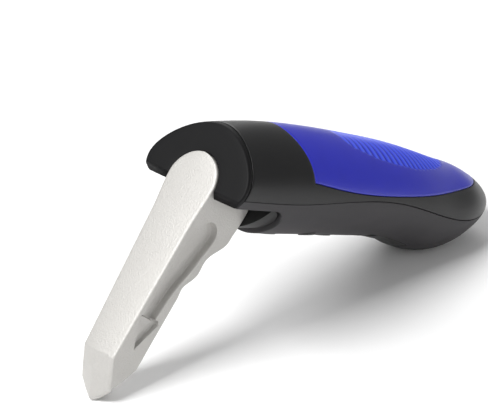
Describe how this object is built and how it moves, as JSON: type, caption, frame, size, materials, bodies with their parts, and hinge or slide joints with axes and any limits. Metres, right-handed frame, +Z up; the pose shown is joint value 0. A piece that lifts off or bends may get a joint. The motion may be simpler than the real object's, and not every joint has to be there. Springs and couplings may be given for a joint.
{
  "type": "car door support handle",
  "caption": "Standing-aid handle: a metal bar that drops into a car door striker, a moulded grip with a soft pad, and a belt cutter in its underside.",
  "frame": {"origin": "middle of the bounding box's bottom, on the floor that the bar's tip and the pommel stand on", "axes": "+Z up as it stands, +X from the bar's tip towards the grip's pommel, +Y across the grip, which is symmetric about Y = 0"},
  "size_m": [0.1762, 0.0422, 0.0731],
  "materials": {
    "bar_metal": "bead-blasted satin metal",
    "collar_plastic": "flat near-black moulded plastic",
    "shell_plastic": "satin black moulded plastic",
    "lower_rubber": "dark grey soft-touch skin over plastic",
    "pad_rubber": "royal blue soft-touch pad, satin",
    "cutter_plastic": "black moulded plastic",
    "blade_steel": "ground steel",
    "fastener_steel": "zinc-plated steel",
    "plug_rubber": "black soft rubber"
  },
  "bodies": {
    "root": {"support_bar": "bar_metal", "front_collar": "collar_plastic", "throat_insert": "collar_plastic", "upper_shell": "shell_plastic", "lower_shell": "lower_rubber", "grip_pad": "pad_rubber", "cutter_insert": "cutter_plastic", "belt_blade": "blade_steel", "blade_pins": "fastener_steel", "tang_bolts": "fastener_steel", "tang_washers": "fastener_steel", "tang_nuts": "fastener_steel", "shell_screws": "fastener_steel", "screw_plugs": "plug_rubber", "bolt_plugs": "plug_rubber"}
  },
  "joints": []
}
